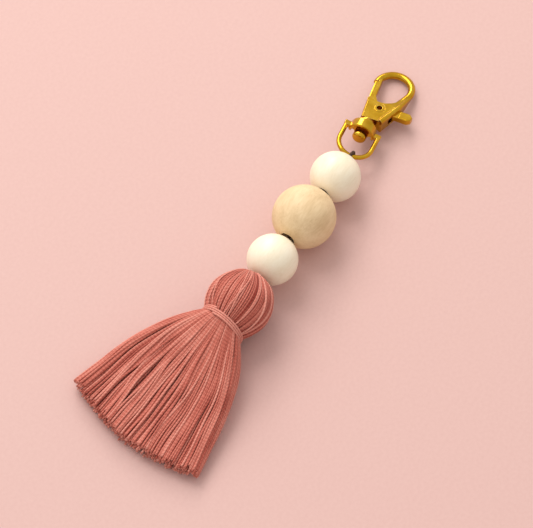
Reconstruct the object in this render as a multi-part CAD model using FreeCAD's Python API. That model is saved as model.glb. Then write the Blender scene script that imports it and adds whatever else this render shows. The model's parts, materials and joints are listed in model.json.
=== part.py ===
import FreeCAD, Part
import math
import os

# Bead and tassel keychain: a swivel trigger clasp, a D-ring, a cord with three wooden beads, a thread tassel.
# It is modelled lying on a flat surface at z = 0. All lengths are in millimetres and all angles in degrees.
#
# Two frames are used.
#   Object frame: +X along the cord from the tassel to the clasp, +Z up, the origin under the box centre.
#   Clasp frame:  +X from the swivel to the top of the hook, +Y to the gate's side, +Z out of the clasp's face.

Vec = FreeCAD.Vector
X_AXIS = Vec(1, 0, 0)
Y_AXIS = Vec(0, 1, 0)
Z_AXIS = Vec(0, 0, 1)

# ---- driving dimensions: beads and cord ----
SMALL_BEAD_R = 8.0
MIDDLE_BEAD_R = 10.0
SMALL_HOLE_R = 2.1
MIDDLE_HOLE_R = 2.2
HOLE_CHAMFER = 0.3
BEAD_PITCH = 18.2          # centre to centre, which leaves room for the cord to bend between two beads
LOWER_BEAD_Z = 10.1        # the taut cord holds the small beads clear of the surface
UPPER_BEAD_Z = 8.65
BOW_Z = 7.8                # height of the ring's bow where the cord's loop holds it
BEAD_TO_BOW_X = 9.5
LOOP_BEND_X = 1.3          # from the ring's bow back to the place where the loop bends
STRAND_R = 0.55            # the cord is doubled: two strands side by side
STRAND_SPREAD = 0.5        # half the distance between the two strands, which press together
STRAND_SETBACK = 0.05      # half of the gap between two cord stretches where the cord bends

# ---- driving dimensions: tassel ----
HEAD_R = 10.3
CORE_R = 9.0
HEAD_HOLE_R = 2.2
HEAD_TO_BEAD_X = 18.75
KNOT_R = 2.7
KNOT_POCKET_R = 3.1
KNOT_INSET = 3.4           # from the middle of the core to the middle of the knot
NECK_BACK = 9.0            # from the middle of the head to the neck
NECK_SIDE = 0.6
NECK_Z = 9.7
NECK_R = 7.3
NECK_INTO_HEAD = 4.5       # how far the neck reaches into the ball of threads
NECK_PAST_BINDING = 0.25
BINDING_TURNS = 3
BINDING_THREAD_R = 0.38
BINDING_PITCH = 0.66
SKIRT_YAW = 6.0
SKIRT_LENGTH = 45.8
SKIRT_END_RADIUS = 66.0    # plan radius of the trimmed ends
SKIRT_END_SHIFT = 1.2      # how far the trimming circle's centre is to the skirt's right
SKIRT_OPENING = 10.2       # how much each side opens out below the neck
SKIRT_OPENING_REACH = 10.0
SKIRT_SPREAD = 0.19        # how much each side widens along the rest, per mm
SKIRT_BOW = 1.1            # how far the skirt's middle line bows to its left
SKIRT_END_TOP = 4.6
SKIRT_DROP_REACH = 21.0    # how soon the upper side comes down from the neck
SKIRT_REST_REACH = 6.0     # how soon the lower side comes down from the neck
SKIRT_TRIM = 3.0           # how much longer the threads are before they are trimmed
SKIRT_GAP = 0.15
SKIRT_LIFT = 0.04

# ---- driving dimensions: D-ring and swivel ----
CLASP_SCALE = 1.07         # the clasp is this much larger than the dimensions that it is drawn to
RING_WIRE_R = 0.72
CORD_TO_WIRE_GAP = 0.12
LOOP_SPREAD = RING_WIRE_R * CLASP_SCALE + CORD_TO_WIRE_GAP + STRAND_R     # from the bow's wire to each strand
RING_BOW_R = 5.1
RING_BOW_X = -8.75
RING_HANG_Y = -0.7         # the loop holds the bow this far from its middle
RING_ROLL = 11.0
RING_BAR_LENGTH = 11.7
RING_BAR_FRONT = -2.5
RING_BAR_BACK = -4.1
RING_BAR_THICKNESS = 1.7
BOSS_R = 4.0               # the boss is an arch above the bar
BOSS_LOWER_R = 2.6         # and a smaller round below it
BOSS_BELOW_MIDDLE = 0.3    # the arch reaches this far below the pin's middle
BOSS_FRONT = -1.7
BOSS_BACK = -4.9
BOSS_RECESS_R = 3.2
BOSS_RECESS_DEPTH = 1.3
SWIVEL_R = 1.3
SWIVEL_CLEARANCE = 0.08
SWIVEL_END_PLAY = 0.1
SWIVEL_HEAD_R = 2.1
SWIVEL_HEAD_LENGTH = 3.2
SWIVEL_BLIND_END = 1.5

# ---- driving dimensions: hook ----
FLANGE_R = 2.85
FLANGE_LENGTH = 1.2
SHANK_R = 1.95
BODY_HALF_THICKNESS = 2.0
SLOT_HALF_WIDTH = 1.0
SLOT_START = 2.85
SLOT_END = 9.0
TAB_SLOT_END = 8.15        # the slot is shorter where the thumb tab comes out of it
CLAW_WIRE_R = 1.1
CLAW_CENTRE = Vec(16.1, -2.4, 0)
CLAW_R = 5.35
SPINE_ANGLE = 21.7         # the spine leans out from the clasp's axis by this much
SPINE_FOOT = Vec(0.6, -3.7, 0)
SPINE_LENGTH = 8.8         # the straight part of the spine, before it narrows on to the claw
SPINE_HALF_WIDTH = 1.0
SPINE_RISE = 0.5
SPINE_TIP_HALF_WIDTH = 0.3
SPINE_TIP_HALF_HEIGHT = 0.6
SPINE_TIP_INSET = 0.05     # how far the spine's tip stays inside the claw's outer side
SPINE_TIP_ANGLE = -103.0   # where the spine ends on the claw
CLAW_ROOT_LENGTH = 3.6
EYE_OVERLAP = 0.9          # how far the cheeks reach short of the claw's round part
CHEEK_SLOPE_START = 9.2    # along the spine's direction, where the cheeks begin to slope down to the claw
CHEEK_SLOPE_END = 17.5
CHEEK_SLOPE_DROP = 1.6
EDGE_BEVEL = 0.35
CLAW_TIP_ANGLE = 88.0

# ---- driving dimensions: lever, rivet and spring ----
PIVOT = Vec(5.5, -1.8, 0)
RIVET_R = 1.1
RIVET_BORE_R = 0.85
RIVET_RIM_R = 1.57
RIVET_RIM_THICKNESS = 0.3
COUNTERSINK_R = 1.65
COUNTERSINK_DEPTH = 0.22
LEVER_HALF_THICKNESS = 0.95
LEVER_HUB_R = 2.15
LEVER_CLEARANCE = 0.05
PAD_HALF_THICKNESS = 1.0
GATE_REACH = 11.6          # pivot to the gate's end face
GATE_LAP = 0.9             # how far the gate's inner half passes behind the claw's tip
GATE_GAP = 0.08
GATE_LAP_Y = 2.55
SPRING_WIRE_R = 0.15
SPRING_COIL_R = 1.55
SPRING_TURNS = 1.5
SPRING_TURN_GAP = 0.02
SPRING_FOOT_LENGTH = 2.45
SPRING_PUSH_LENGTH = 1.0
SPRING_POCKET_R = 1.85
SPRING_POCKET_HALF = 0.45

# ---- places along the cord, measured from the middle of the tassel head ----
HEAD_C = Vec(0, 0, HEAD_R)
LOWER_STEP_X = math.sqrt(BEAD_PITCH**2 - (LOWER_BEAD_Z - MIDDLE_BEAD_R) ** 2)
UPPER_STEP_X = math.sqrt(BEAD_PITCH**2 - (MIDDLE_BEAD_R - UPPER_BEAD_Z) ** 2)
BEAD_LOWER_C = Vec(HEAD_TO_BEAD_X, 0, LOWER_BEAD_Z)
BEAD_MIDDLE_C = Vec(BEAD_LOWER_C.x + LOWER_STEP_X, 0, MIDDLE_BEAD_R)
BEAD_UPPER_C = Vec(BEAD_MIDDLE_C.x + UPPER_STEP_X, 0, UPPER_BEAD_Z)
CONTACT_SHARE = (SMALL_BEAD_R + 0.1) / BEAD_PITCH
BEND_UPPER = BEAD_UPPER_C + (BEAD_MIDDLE_C - BEAD_UPPER_C) * CONTACT_SHARE
BEND_LOWER = BEAD_LOWER_C + (BEAD_MIDDLE_C - BEAD_LOWER_C) * CONTACT_SHARE
BEND_TASSEL = Vec(HEAD_R + 0.45, 0, BEND_LOWER.z)
BOW_POINT = Vec(BEAD_UPPER_C.x + BEAD_TO_BOW_X, 0, BOW_Z)
CORD_MIDDLE_DIRECTION = (BEND_UPPER - BEND_LOWER).normalize()
CORD_TOP_DIRECTION = (BOW_POINT - BEND_UPPER).normalize()
BEND_TOP = BEND_UPPER + CORD_TOP_DIRECTION * (BOW_POINT.x - LOOP_BEND_X - BEND_UPPER.x)
NECK_C = Vec(-NECK_BACK, NECK_SIDE, NECK_Z)

# ---- the clasp's pose: its ring hangs on the cord and the top of its hook rests on the surface ----
RING_HANG_POINT = Vec(RING_BOW_X - math.sqrt(RING_BOW_R**2 - RING_HANG_Y**2), RING_HANG_Y, 0)
RING_BOW_LOCAL = FreeCAD.Rotation(X_AXIS, RING_ROLL).multVec(RING_HANG_POINT)
CLASP_REACH = (CLAW_CENTRE.x + CLAW_R - RING_BOW_LOCAL.x) * CLASP_SCALE
CLASP_PITCH = math.degrees(math.asin((BOW_POINT.z - CLAW_WIRE_R * CLASP_SCALE) / CLASP_REACH))
CLASP_YAW = 10.0

# ---- the object's box centre in X and Y, measured from the middle of the tassel head ----
BOX_CENTRE_X = 23.8703
BOX_CENTRE_Y = 5.4188


# ---- small helpers ----
def cylinder(radius, start, end):
    """A round bar between two points."""
    along = end - start
    return Part.makeCylinder(radius, along.Length, start, along)


def rod_with_round_ends(radius, start, end):
    """A round bar with half-ball ends that reach exactly from start to end."""
    along = (end - start).normalize()
    first = start + along * radius
    last = end - along * radius
    bar = cylinder(radius, first, last)
    return bar.fuse([Part.makeSphere(radius, first), Part.makeSphere(radius, last)]).removeSplitter()


def prism(points, low, high):
    """A flat outline, given as points in X and Y, raised from low to high in Z."""
    corners = [Vec(x, y, low) for x, y in points]
    outline = Part.makePolygon(corners + corners[:1])
    return Part.Face(outline).extrude(Vec(0, 0, high - low))


def on_circle(centre, radius, angle):
    """A point on a circle in the XY plane."""
    turn = math.radians(angle)
    return centre + Vec(radius * math.cos(turn), radius * math.sin(turn), 0)


def placed_in_clasp(shape, roll=0.0):
    """Moves a shape from the clasp frame to the resting place, at full size and rolled about the swivel's axis."""
    moved = shape.copy()
    moved.scale(CLASP_SCALE, Vec(0, 0, 0))
    moved.rotate(Vec(0, 0, 0), X_AXIS, roll)
    moved.translate(BOW_POINT - RING_BOW_LOCAL * CLASP_SCALE)
    moved.rotate(BOW_POINT, Y_AXIS, CLASP_PITCH)
    moved.rotate(BOW_POINT, Z_AXIS, CLASP_YAW)
    return moved


# ---- hook ----
def spine_direction():
    lean = math.radians(SPINE_ANGLE)
    return Vec(math.cos(lean), -math.sin(lean), 0)


def claw_start():
    """The point where the claw's straight root runs into its round part."""
    return on_circle(CLAW_CENTRE, CLAW_R, -90 - SPINE_ANGLE)


def claw():
    """The round wire of the hook, from the spine over the top to the tip beside the gate."""
    top = claw_start()
    start = top - spine_direction() * CLAW_ROOT_LENGTH
    crown = on_circle(CLAW_CENTRE, CLAW_R, 0)
    tip = on_circle(CLAW_CENTRE, CLAW_R, CLAW_TIP_ANGLE)
    path = Part.Wire([Part.LineSegment(start, top).toShape(), Part.Arc(top, crown, tip).toShape()])
    section = Part.Wire(Part.makeCircle(CLAW_WIRE_R, start, spine_direction()))
    return path.makePipeShell([section], True, True)


def spine_end():
    """The middle of the spine's tip, level with the outside of the claw's wire."""
    reach = CLAW_R + CLAW_WIRE_R - SPINE_TIP_HALF_WIDTH - SPINE_TIP_INSET
    return on_circle(CLAW_CENTRE, reach, SPINE_TIP_ANGLE)


def body_block():
    """The two cheeks in one block, before the lever's slot is cut, thinner where they run out on the claw."""
    base_left = Vec(0.5, 2.1, 0)
    shoulder = Vec(7.6, 2.85, 0)
    shoulder_round = Vec(8.3, 2.65, 0)
    shoulder_inner = Vec(8.45, 2.0, 0)
    eye_left = Vec(8.1, 0.9, 0)
    eye_bottom = Vec(7.75, -1.9, 0)
    eye_right = Vec(10.0, -5.3, 0)
    claw_inside = claw_start() - spine_direction() * EYE_OVERLAP
    base_right = Vec(0.5, -1.9, 0)
    edges = [
        Part.LineSegment(base_left, shoulder),
        Part.Arc(shoulder, shoulder_round, shoulder_inner),
        Part.LineSegment(shoulder_inner, eye_left),
        Part.Arc(eye_left, eye_bottom, eye_right),
        Part.LineSegment(eye_right, claw_inside),
        Part.LineSegment(claw_inside, spine_end()),
        Part.LineSegment(spine_end(), SPINE_FOOT + spine_direction() * SPINE_LENGTH),
        Part.LineSegment(SPINE_FOOT + spine_direction() * SPINE_LENGTH, SPINE_FOOT),
        Part.LineSegment(SPINE_FOOT, base_right),
        Part.LineSegment(base_right, base_left),
    ]
    outline = Part.Wire([edge.toShape() for edge in edges])
    outline.translate(Vec(0, 0, -BODY_HALF_THICKNESS))
    block = Part.Face(outline).extrude(Vec(0, 0, 2 * BODY_HALF_THICKNESS))
    left = [e for e in block.Edges if e.Length > 7 and e.CenterOfMass.y > 2.2 and abs(e.CenterOfMass.z) > 1.9]
    return block.makeChamfer(EDGE_BEVEL, left).cut(cheek_slopes())


def cheek_slopes():
    """Wedges above and below the body that slope its cheeks down to the claw's wire."""
    high = BODY_HALF_THICKNESS
    profile = [(CHEEK_SLOPE_START, high), (CHEEK_SLOPE_END, high - CHEEK_SLOPE_DROP),
               (CHEEK_SLOPE_END, 2 * high), (CHEEK_SLOPE_START, 2 * high)]
    wedges = []
    for side in (1, -1):
        corners = [Vec(x, -10, z * side) for x, z in profile]
        wedge = Part.Face(Part.makePolygon(corners + corners[:1])).extrude(Vec(0, 20, 0))
        wedge.rotate(Vec(0, 0, 0), Z_AXIS, -SPINE_ANGLE)
        wedges.append(wedge)
    return wedges


def rounded_section(centre, half_width, half_height):
    """A section square to the spine's straight part, with round top and bottom."""
    low = half_width - half_height
    high = half_height - half_width
    left = [Vec(0, half_width, low), Vec(0, half_width, high)]
    right = [Vec(0, -half_width, high), Vec(0, -half_width, low)]
    corners = left + right
    crest = Vec(0, 0, half_height)
    keel = Vec(0, 0, -half_height)
    edges = [
        Part.LineSegment(corners[0], corners[1]),
        Part.Arc(corners[1], crest, corners[2]),
        Part.LineSegment(corners[2], corners[3]),
        Part.Arc(corners[3], keel, corners[0]),
    ]
    section = Part.Wire([edge.toShape() for edge in edges])
    section.rotate(Vec(0, 0, 0), Z_AXIS, -SPINE_ANGLE)
    section.translate(centre)
    return section


def spine():
    """The round-edged bar along the body's side, which narrows on to the outside of the claw."""
    crest = BODY_HALF_THICKNESS + SPINE_RISE
    straight_end = SPINE_FOOT + spine_direction() * SPINE_LENGTH
    return Part.makeLoft([
        rounded_section(SPINE_FOOT, SPINE_HALF_WIDTH, crest),
        rounded_section(straight_end, SPINE_HALF_WIDTH * 0.85, crest - 0.25),
        rounded_section(spine_end(), SPINE_TIP_HALF_WIDTH, SPINE_TIP_HALF_HEIGHT),
    ], True, True)


def lever_sweep_cut():
    """What the claw leaves free for the gate: a round of the gate's reach, and the lap behind its tip."""
    reach = GATE_REACH + GATE_GAP
    height = 2 * BODY_HALF_THICKNESS
    inside = Part.makeCylinder(reach, height, PIVOT - Vec(0, 0, height / 2), Z_AXIS, 55)
    inside.rotate(PIVOT, Z_AXIS, -15)
    lap = Part.makeCylinder(reach + GATE_LAP, height, PIVOT - Vec(0, 0, height / 2), Z_AXIS, 55)
    lap.rotate(PIVOT, Z_AXIS, -15)
    below = Part.makeBox(20, 10, height, Vec(8, GATE_LAP_Y + GATE_GAP - 10, -height / 2))
    return inside.fuse(lap.common(below))


def lever_slot():
    """The slot between the cheeks, longer on the gate's side of the pivot than on the thumb tab's."""
    gate_corner = Vec(SLOT_START, PIVOT.y, -SLOT_HALF_WIDTH)
    gate_side = Part.makeBox(SLOT_END - SLOT_START, 20, 2 * SLOT_HALF_WIDTH, gate_corner)
    tab_side = Part.makeBox(
        TAB_SLOT_END - SLOT_START, 20, 2 * SLOT_HALF_WIDTH, Vec(SLOT_START, PIVOT.y - 20, -SLOT_HALF_WIDTH))
    return gate_side.fuse(tab_side)


def hook_body():
    """The cast hook: flange, shank, slotted body, bevelled spine and round claw."""
    flange_start = BOSS_FRONT + SWIVEL_END_PLAY
    flange = cylinder(FLANGE_R, Vec(flange_start, 0, 0), Vec(flange_start + FLANGE_LENGTH, 0, 0))
    flange = flange.makeFillet(0.25, [edge for edge in flange.Edges if edge.Closed])
    shank = cylinder(SHANK_R, Vec(flange_start + 0.2, 0, 0), Vec(SLOT_START - 0.2, 0, 0))
    solid = body_block().fuse(spine())
    solid = solid.cut(lever_slot())
    for piece in (shank, flange, claw().cut(lever_sweep_cut())):
        solid = solid.fuse(piece)
    sink_floor = Vec(0, 0, BODY_HALF_THICKNESS - COUNTERSINK_DEPTH)
    cutters = [
        cylinder(SWIVEL_R, Vec(flange_start - 1, 0, 0), Vec(SWIVEL_BLIND_END, 0, 0)),
        cylinder(RIVET_R, PIVOT - Vec(0, 0, 4), PIVOT + Vec(0, 0, 4)),
        cylinder(COUNTERSINK_R, PIVOT + sink_floor, PIVOT + sink_floor * 2),
        cylinder(COUNTERSINK_R, PIVOT - sink_floor, PIVOT - sink_floor * 2),
    ]
    for cutter in cutters:
        solid = solid.cut(cutter)
    return solid


# ---- lever, rivet, spring ----
def lever_outline():
    """The lever's outline: the gate on one side of the pivot and the thumb tab on the other."""
    tip = PIVOT.x + GATE_REACH + GATE_LAP + 1
    tab_end = [(5.0, -10.5), (5.7, -11.55), (6.9, -11.75), (7.95, -10.75)]
    gate = prism(
        [(4.7, -0.8), (4.4, 0.1), (8.3, 2.45), (10.4, 3.1), (tip, 3.7), (tip, 1.7), (10.4, 1.1), (7.2, -0.9)],
        -LEVER_HALF_THICKNESS, LEVER_HALF_THICKNESS,
    )
    tab = prism(
        [(3.8, -2.6), (5.0, -5.2)] + tab_end + [(7.95, -5.2), (7.45, -2.6)],
        -LEVER_HALF_THICKNESS, LEVER_HALF_THICKNESS,
    )
    pad = prism([(5.0, -8.0)] + tab_end + [(7.95, -8.0)], -PAD_HALF_THICKNESS, PAD_HALF_THICKNESS)
    half = Vec(0, 0, LEVER_HALF_THICKNESS)
    hub = cylinder(LEVER_HUB_R, PIVOT - half, PIVOT + half)
    return gate.fuse([tab, pad, hub]).removeSplitter()


def gate_end_cut():
    """Everything past the gate's end face, apart from the lap that passes behind the claw's tip."""
    block = Part.makeBox(20, 20, 6, Vec(12, -6, -3))
    full = Part.makeCylinder(GATE_REACH, 8, PIVOT - Vec(0, 0, 4))
    long = Part.makeCylinder(GATE_REACH + GATE_LAP, 8, PIVOT - Vec(0, 0, 4))
    inner = Part.makeBox(20, 10, 8, Vec(8, GATE_LAP_Y - 10, -4))
    return block.cut([full, long.common(inner)])


def clasp_lever():
    """The gate and thumb tab in one piece, forked at the hub to hold the spring."""
    solid = lever_outline().cut(gate_end_cut())
    bore = cylinder(RIVET_R + LEVER_CLEARANCE, PIVOT - Vec(0, 0, 4), PIVOT + Vec(0, 0, 4))
    half = Vec(0, 0, SPRING_POCKET_HALF)
    pocket = cylinder(SPRING_POCKET_R, PIVOT - half, PIVOT + half)
    mouth = Part.makeBox(4, 2 * SPRING_POCKET_R, 2 * SPRING_POCKET_HALF,
                         PIVOT - Vec(4, SPRING_POCKET_R, SPRING_POCKET_HALF))
    solid = solid.cut([bore, pocket, mouth]).removeSplitter()
    return rounded_lever(solid)


def rounded_lever(solid):
    """Rounds the long outer edges of the gate and the thumb tab."""
    chosen = []
    for edge in solid.Edges:
        middle = edge.valueAt((edge.FirstParameter + edge.LastParameter) / 2)
        straight = isinstance(edge.Curve, Part.Line)
        level = straight and abs(edge.tangentAt(edge.FirstParameter).z) < 0.01
        on_gate = abs(middle.z) > LEVER_HALF_THICKNESS - 0.01 and middle.x > 11.0 and edge.Length > 3
        on_pad = abs(middle.z) > PAD_HALF_THICKNESS - 0.01 and middle.y < -8.0
        if level and (on_gate or on_pad):
            chosen.append(edge)
    return solid.makeFillet(0.3, chosen)


def lever_rivet():
    """The hollow rivet that the lever turns on, with a rolled rim in each countersink."""
    half = BODY_HALF_THICKNESS - COUNTERSINK_DEPTH
    shank = cylinder(RIVET_R, PIVOT - Vec(0, 0, half), PIVOT + Vec(0, 0, half))
    rims = []
    for side in (1, -1):
        foot = PIVOT + Vec(0, 0, half * side)
        rim = cylinder(RIVET_RIM_R, foot, foot + Vec(0, 0, RIVET_RIM_THICKNESS * side))
        outer = [e for e in rim.Edges if e.Closed and abs(abs(e.CenterOfMass.z) - half - RIVET_RIM_THICKNESS) < 0.01]
        rims.append(rim.makeFillet(0.14, outer))
    bore = cylinder(RIVET_BORE_R, PIVOT - Vec(0, 0, 4), PIVOT + Vec(0, 0, 4))
    return shank.fuse(rims).cut(bore).removeSplitter()


def spring_coil_point(turns):
    """A point on the spring's coil, a number of turns from where its foot leaves it, about the pivot."""
    pitch = 2 * SPRING_WIRE_R + SPRING_TURN_GAP
    around = on_circle(PIVOT, SPRING_COIL_R, 360 * turns - 90)
    return around + Z_AXIS * (pitch * (turns - SPRING_TURNS / 2))


def lever_spring():
    """The torsion spring round the rivet: one leg on the body's base, the other on the lever."""
    quarter = 0.25
    foot = spring_coil_point(0) - X_AXIS * SPRING_FOOT_LENGTH
    push = spring_coil_point(SPRING_TURNS) - X_AXIS * SPRING_PUSH_LENGTH
    edges = [Part.LineSegment(foot, spring_coil_point(0))]
    for step in range(int(SPRING_TURNS / quarter)):
        start = step * quarter
        through = [spring_coil_point(start + share * quarter) for share in (0, 0.5, 1)]
        edges.append(Part.Arc(*through))
    edges.append(Part.LineSegment(spring_coil_point(SPRING_TURNS), push))
    path = Part.Wire([edge.toShape() for edge in edges])
    section = Part.Wire(Part.makeCircle(SPRING_WIRE_R, foot, X_AXIS))
    return path.makePipeShell([section], True, True)


# ---- swivel and ring ----
def swivel_post():
    """The headed pin pressed into the hook's shank, on which the ring swivels."""
    under_head = BOSS_BACK + BOSS_RECESS_DEPTH - SWIVEL_END_PLAY
    shaft = cylinder(SWIVEL_R, Vec(under_head - 0.5, 0, 0), Vec(SWIVEL_BLIND_END, 0, 0))
    head = cylinder(SWIVEL_HEAD_R, Vec(under_head - SWIVEL_HEAD_LENGTH, 0, 0), Vec(under_head, 0, 0))
    end = [e for e in head.Edges if e.Closed and e.CenterOfMass.x < under_head - SWIVEL_HEAD_LENGTH + 0.01]
    head = head.makeFillet(0.9, end)
    return shaft.fuse(head).removeSplitter()


def swivel_ring():
    """The D-ring: a flat bar with a bored boss, two legs and a round bow."""
    bow = Part.makeTorus(RING_BOW_R, RING_WIRE_R, Vec(RING_BOW_X, 0, 0), Z_AXIS)
    bow = bow.common(Part.makeBox(20, 20, 4, Vec(RING_BOW_X - 20, -10, -2)))
    bar_size = Vec(RING_BAR_FRONT - RING_BAR_BACK, RING_BAR_LENGTH, RING_BAR_THICKNESS)
    corner = Vec(RING_BAR_BACK, -bar_size.y / 2, -bar_size.z / 2)
    bar = Part.makeBox(bar_size.x, bar_size.y, bar_size.z, corner)
    bar = bar.makeChamfer(0.22, bar.Edges)
    legs = []
    for side in (1, -1):
        y = RING_BOW_R * side
        legs.append(cylinder(RING_WIRE_R, Vec(RING_BOW_X, y, 0), Vec(RING_BAR_BACK + 0.6, y, 0)))
    bore = cylinder(SWIVEL_R + SWIVEL_CLEARANCE, Vec(BOSS_BACK - 1, 0, 0), Vec(BOSS_FRONT + 1, 0, 0))
    recess = cylinder(BOSS_RECESS_R, Vec(BOSS_BACK - 1, 0, 0), Vec(BOSS_BACK + BOSS_RECESS_DEPTH, 0, 0))
    return bow.fuse([bar, ring_boss()] + legs).cut([bore, recess]).removeSplitter()


def ring_boss():
    """The boss that the swivel pin goes through: a high arch above the bar and a low round below it."""
    rounds = []
    for radius in (BOSS_R, BOSS_LOWER_R):
        round_bar = cylinder(radius, Vec(BOSS_BACK, 0, 0), Vec(BOSS_FRONT, 0, 0))
        rounds.append(round_bar.makeFillet(0.35, [edge for edge in round_bar.Edges if edge.Closed]))
    above = Part.makeBox(20, 20, 10, Vec(-12, -10, -BOSS_BELOW_MIDDLE))
    return rounds[0].common(above).fuse(rounds[1])


# ---- cord ----
def across_cord(along):
    """The upward direction square to the cord, in which its two strands lie one over the other."""
    over = Y_AXIS.cross(along)
    return over if over.z > 0 else over * -1


def cord_span(start, end, start_spread, end_spread):
    """Two strands of cord pressed together, one over the other, from start to end."""
    along = (end - start).normalize()
    over = across_cord(along)
    first = start + along * STRAND_SETBACK
    last = end - along * STRAND_SETBACK
    strands = []
    for side in (1, -1):
        strands.append(rod_with_round_ends(
            STRAND_R, first + over * start_spread * side, last + over * end_spread * side))
    return strands[0].fuse(strands[1])


def cord_loop():
    """The end loop of the cord, round the bow of the D-ring, as far as the mouth of the upper bead."""
    along = CORD_TOP_DIRECTION
    over = across_cord(along)
    first = BEND_TOP + over * LOOP_SPREAD + along * (STRAND_SETBACK + STRAND_R)
    last = BEND_TOP - over * LOOP_SPREAD + along * (STRAND_SETBACK + STRAND_R)
    top = BOW_POINT + over * LOOP_SPREAD
    bottom = BOW_POINT - over * LOOP_SPREAD
    crown = BOW_POINT + along * LOOP_SPREAD
    edges = [Part.LineSegment(first, top), Part.Arc(top, crown, bottom), Part.LineSegment(bottom, last)]
    path = Part.Wire([edge.toShape() for edge in edges])
    section = Part.Wire(Part.makeCircle(STRAND_R, first, along))
    loop = path.makePipeShell([section], True, True)
    return loop.fuse([Part.makeSphere(STRAND_R, first), Part.makeSphere(STRAND_R, last)]).removeSplitter()


def cord_top():
    """The doubled cord through the upper bead, where its two strands come together."""
    return cord_span(BEND_UPPER, BEND_TOP, STRAND_SPREAD, LOOP_SPREAD)


def cord_middle():
    """The doubled cord through the middle bead."""
    return cord_span(BEND_LOWER, BEND_UPPER, STRAND_SPREAD, STRAND_SPREAD)


def cord_lower():
    """The doubled cord through the lower bead."""
    return cord_span(BEND_TASSEL, BEND_LOWER, STRAND_SPREAD, STRAND_SPREAD)


def head_axis():
    """From the middle of the tassel head towards the hole at its top."""
    return (BEND_TASSEL - HEAD_C).normalize()


def knot_centre():
    return HEAD_C - head_axis() * KNOT_INSET


def cord_end():
    """The end of the cord inside the tassel head, with the knot that holds the head on."""
    knot = Part.makeSphere(KNOT_R, knot_centre())
    return cord_span(knot_centre(), BEND_TASSEL, STRAND_SPREAD, STRAND_SPREAD).fuse(knot)


# ---- beads ----
def bead(centre, radius, hole_radius, direction):
    """A round wooden bead with a chamfered hole."""
    ball = Part.makeSphere(radius, centre)
    mouth = math.sqrt(radius**2 - hole_radius**2)
    cutters = [cylinder(hole_radius, centre - direction * (radius + 1), centre + direction * (radius + 1))]
    for side in (1, -1):
        inner = centre + direction * (mouth - HOLE_CHAMFER) * side
        cutters.append(Part.makeCone(hole_radius, hole_radius + 2, 2, inner, direction * side))
    return ball.cut(cutters)


def bead_upper():
    return bead(BEAD_UPPER_C, SMALL_BEAD_R, SMALL_HOLE_R, CORD_TOP_DIRECTION)


def bead_middle():
    return bead(BEAD_MIDDLE_C, MIDDLE_BEAD_R, MIDDLE_HOLE_R, CORD_MIDDLE_DIRECTION)


def bead_lower():
    return bead(BEAD_LOWER_C, SMALL_BEAD_R, SMALL_HOLE_R, X_AXIS)


# ---- tassel ----
def skirt_axis():
    """The direction in which the skirt lies, from the neck to the trimmed ends."""
    yaw = math.radians(SKIRT_YAW)
    return Vec(-math.cos(yaw), math.sin(yaw), 0)


def tassel_core():
    """The wooden ball inside the tassel head, bored for the cord and pocketed for its knot."""
    axis = head_axis()
    bore = cylinder(HEAD_HOLE_R, HEAD_C - axis * KNOT_INSET, HEAD_C + axis * (CORE_R + 1))
    pocket = cylinder(KNOT_POCKET_R, HEAD_C - axis * (CORE_R + 1), HEAD_C - axis * (KNOT_INSET - KNOT_R - 0.2))
    return Part.makeSphere(CORE_R, HEAD_C).cut([bore, pocket])


def neck_end():
    """The distance from the middle of the neck to its end, just past the binding."""
    return BINDING_TURNS * BINDING_PITCH / 2 + NECK_PAST_BINDING


def head_threads():
    """The layer of threads laid over the core and gathered below it in the neck."""
    neck = cylinder(NECK_R, NECK_C - skirt_axis() * NECK_INTO_HEAD, NECK_C + skirt_axis() * neck_end())
    outside = Part.makeSphere(HEAD_R, HEAD_C).fuse(neck)
    axis = head_axis()
    cuts = [
        Part.makeSphere(CORE_R, HEAD_C),
        cylinder(HEAD_HOLE_R, HEAD_C, HEAD_C + axis * (HEAD_R + 1)),
        cylinder(KNOT_POCKET_R, HEAD_C - axis * KNOT_INSET, HEAD_C),
        neck_binding(),
    ]
    for cut in cuts:
        outside = outside.cut(cut)
    return outside


def neck_binding():
    """The turns of thread wound round the neck."""
    axis = skirt_axis()
    first = -(BINDING_TURNS - 1) / 2 * BINDING_PITCH
    rings = []
    for turn in range(BINDING_TURNS):
        centre = NECK_C + axis * (first + turn * BINDING_PITCH)
        rings.append(Part.makeTorus(NECK_R + BINDING_THREAD_R, BINDING_THREAD_R, centre, axis))
    return rings[0].fuse(rings[1:]).removeSplitter()


def skirt_half_width(s):
    """Half the skirt's width at a distance s from the neck: it opens quickly, then nearly straight."""
    return NECK_R + SKIRT_OPENING * (1 - math.exp(-s / SKIRT_OPENING_REACH)) + SKIRT_SPREAD * s


def skirt_bow(s):
    """How far the skirt's middle line lies to its left at a distance s from the neck."""
    return SKIRT_BOW * math.sqrt(math.sin(math.pi * s / (SKIRT_LENGTH + SKIRT_TRIM)))


def skirt_top(s):
    return SKIRT_END_TOP + (NECK_Z + NECK_R - SKIRT_END_TOP) * math.exp(-((s / SKIRT_DROP_REACH) ** 1.35))


def skirt_bottom(s):
    return SKIRT_LIFT + (NECK_Z - NECK_R) * math.exp(-((s / SKIRT_REST_REACH) ** 2))


def skirt_section(s):
    """One closed cross-section of the skirt, rounder near the neck and flatter at the ends."""
    points = []
    corners = 24
    power = 2.0 + 0.8 * min(1.0, s / 20.0)
    middle = (skirt_top(s) + skirt_bottom(s)) / 2
    half_height = (skirt_top(s) - skirt_bottom(s)) / 2
    for k in range(corners):
        turn = 2 * math.pi * k / corners
        c, d = math.cos(turn), math.sin(turn)
        across = skirt_half_width(s) * math.copysign(abs(c) ** (2 / power), c)
        up = half_height * math.copysign(abs(d) ** (2 / power), d)
        points.append(Vec(s, across - skirt_bow(s), middle + up))
    curve = Part.BSplineCurve()
    curve.interpolate(points, PeriodicFlag=True)
    return Part.Wire(curve.toShape())


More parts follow.
